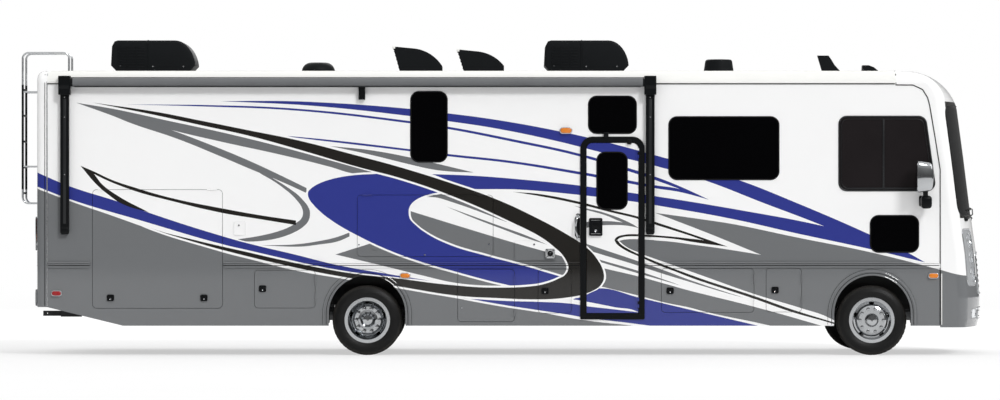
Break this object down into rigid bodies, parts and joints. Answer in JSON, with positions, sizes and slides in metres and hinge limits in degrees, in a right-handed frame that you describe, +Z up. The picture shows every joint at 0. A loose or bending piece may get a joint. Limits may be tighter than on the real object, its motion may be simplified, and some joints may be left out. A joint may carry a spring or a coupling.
{
  "type": "class A motorhome",
  "caption": "Long flat-sided motorhome with dual rear wheels, swinging storage bay doors, entry door, slide-out room and rolled awning.",
  "frame": {"origin": "on the ground below the middle of the overall box", "axes": "+X forward, +Y to the driver's side, +Z up"},
  "size_m": [11.81, 3.26, 3.866],
  "materials": {
    "body_paint": "gloss gelcoat with vinyl stripes",
    "roof_skin": "white fibreglass",
    "cap_gelcoat": "moulded and painted fibreglass",
    "black_trim": "satin black powder coat",
    "tinted_glass": "black tinted safety glass",
    "windshield_glass": "laminated glass",
    "chassis_steel": "black chassis paint",
    "engine_iron": "dull",
    "tank_plastic": "moulded",
    "deck_ply": "sealed plywood deck",
    "bay_sheet": "coated sheet",
    "housing_sheet": "black liner",
    "grille_chrome": "plated",
    "lamp_chrome": "reflector and clear lens",
    "lamp_lens": "coloured lens",
    "dash_plastic": "grained",
    "seat_leather": "stitched",
    "shroud_plastic": "black moulded",
    "antenna_plastic": "white moulded",
    "ladder_tube": "bright tube",
    "mirror_shell": "plated head on a black arm",
    "hatch_plastic": "white moulded",
    "tyre_rubber": "black",
    "wheel_chrome": "polished wheel simulator",
    "knuckle_iron": "painted"
  },
  "bodies": {
    "coach": {"chassis_frame": "chassis_steel", "front_axle": "chassis_steel", "rear_axle": "chassis_steel", "engine": "engine_iron", "fuel_tank": "tank_plastic", "house_floor": "deck_ply", "side_wall_right": "body_paint", "side_wall_left": "body_paint", "skirt_right": "body_paint", "skirt_left": "body_paint", "body_trim": "body_paint", "roof": "roof_skin", "rear_cap": "cap_gelcoat", "front_cap": "cap_gelcoat", "windshield": "windshield_glass", "grille": "grille_chrome", "headlamps": "lamp_chrome", "lamps": "lamp_lens", "side_windows": "tinted_glass", "entry_door_frame": "black_trim", "storage_bays": "bay_sheet", "wheel_housings": "housing_sheet", "dashboard": "dash_plastic", "cab_seats": "seat_leather", "air_conditioners": "shroud_plastic", "roof_vents": "shroud_plastic", "antennas": "antenna_plastic", "awning": "black_trim", "ladder": "ladder_tube", "mirrors": "mirror_shell", "service_hatches": "hatch_plastic"},
    "knuckle_right": {"knuckle_right": "knuckle_iron"},
    "knuckle_left": {"knuckle_left": "knuckle_iron"},
    "front_wheel_right": {"front_tyre_right": "tyre_rubber", "front_rim_right": "wheel_chrome"},
    "front_wheel_left": {"front_tyre_left": "tyre_rubber", "front_rim_left": "wheel_chrome"},
    "rear_wheels_right": {"rear_tyres_right": "tyre_rubber", "rear_rims_right": "wheel_chrome"},
    "rear_wheels_left": {"rear_tyres_left": "tyre_rubber", "rear_rims_left": "wheel_chrome"},
    "entry_door": {"entry_door": "body_paint", "entry_door_glass": "tinted_glass"},
    "slide_room": {"slide_room": "body_paint", "slide_glass": "tinted_glass"},
    "bay_door_tall": {"bay_door_tall": "body_paint"},
    "bay_door_rear": {"bay_door_rear": "body_paint"},
    "bay_door_upper": {"bay_door_upper": "body_paint"},
    "bay_door_middle": {"bay_door_middle": "body_paint"},
    "bay_door_small": {"bay_door_small": "body_paint"},
    "bay_door_long": {"bay_door_long": "body_paint"},
    "bay_door_front": {"bay_door_front": "body_paint"},
    "left_bay_door_rear": {"left_bay_door_rear": "body_paint"},
    "left_bay_door_front": {"left_bay_door_front": "body_paint"}
  },
  "joints": [
    {"name": "steer_right", "type": "hinge", "parent": "coach", "child": "knuckle_right", "pos_m": [4.478, -0.94, 0.425], "axis": [0, 0, 1], "range_deg": [-42, 42]},
    {"name": "steer_left", "type": "hinge", "parent": "coach", "child": "knuckle_left", "pos_m": [4.478, 0.94, 0.425], "axis": [0, 0, 1], "range_deg": [-42, 42]},
    {"name": "front_wheel_right_spin", "type": "hinge", "parent": "knuckle_right", "child": "front_wheel_right", "pos_m": [4.478, -1.083, 0.425], "axis": [0, 1, 0], "continuous": true},
    {"name": "front_wheel_left_spin", "type": "hinge", "parent": "knuckle_left", "child": "front_wheel_left", "pos_m": [4.478, 1.083, 0.425], "axis": [0, 1, 0], "continuous": true},
    {"name": "rear_wheels_right_spin", "type": "hinge", "parent": "coach", "child": "rear_wheels_right", "pos_m": [-1.669, -0.928, 0.425], "axis": [0, 1, 0], "continuous": true},
    {"name": "rear_wheels_left_spin", "type": "hinge", "parent": "coach", "child": "rear_wheels_left", "pos_m": [-1.669, 0.928, 0.425], "axis": [0, 1, 0], "continuous": true},
    {"name": "entry_door_hinge", "type": "hinge", "parent": "coach", "child": "entry_door", "pos_m": [1.6325, -1.3023, 1.5495], "axis": [0, 0, 1], "range_deg": [0, 100]},
    {"name": "slide_room_travel", "type": "slide", "parent": "coach", "child": "slide_room", "axis": [0, 1, 0], "range_m": [0, 0.76]},
    {"name": "bay_door_tall_hinge", "type": "hinge", "parent": "coach", "child": "bay_door_tall", "pos_m": [-4.219, -1.2873, 2.0165], "axis": [-1, 0, 0], "range_deg": [0, 90]},
    {"name": "bay_door_rear_hinge", "type": "hinge", "parent": "coach", "child": "bay_door_rear", "pos_m": [-2.2995, -1.2873, 0.8055], "axis": [0, 0, 1], "range_deg": [0, 90]},
    {"name": "bay_door_upper_hinge", "type": "hinge", "parent": "coach", "child": "bay_door_upper", "pos_m": [-0.962, -1.2873, 1.9505], "axis": [-1, 0, 0], "range_deg": [0, 90]},
    {"name": "bay_door_middle_hinge", "type": "hinge", "parent": "coach", "child": "bay_door_middle", "pos_m": [0.1255, -1.2873, 0.729], "axis": [0, 0, 1], "range_deg": [0, 90]},
    {"name": "bay_door_small_hinge", "type": "hinge", "parent": "coach", "child": "bay_door_small", "pos_m": [0.8205, -1.2873, 0.7805], "axis": [0, 0, 1], "range_deg": [0, 90]},
    {"name": "bay_door_long_hinge", "type": "hinge", "parent": "coach", "child": "bay_door_long", "pos_m": [3.0385, -1.2873, 0.7905], "axis": [0, 0, 1], "range_deg": [0, 90]},
    {"name": "bay_door_front_hinge", "type": "hinge", "parent": "coach", "child": "bay_door_front", "pos_m": [3.6175, -1.2873, 0.7945], "axis": [0, 0, 1], "range_deg": [0, 90]},
    {"name": "left_bay_door_rear_hinge", "type": "hinge", "parent": "coach", "child": "left_bay_door_rear", "pos_m": [-2.7495, 1.2873, 0.8055], "axis": [0, 0, -1], "range_deg": [0, 90]},
    {"name": "left_bay_door_front_hinge", "type": "hinge", "parent": "coach", "child": "left_bay_door_front", "pos_m": [3.0385, 1.2873, 0.7905], "axis": [0, 0, -1], "range_deg": [0, 90]}
  ],
  "couplings": [
    {"joint": "steer_left", "follows": "steer_right", "ratio": 1}
  ]
}
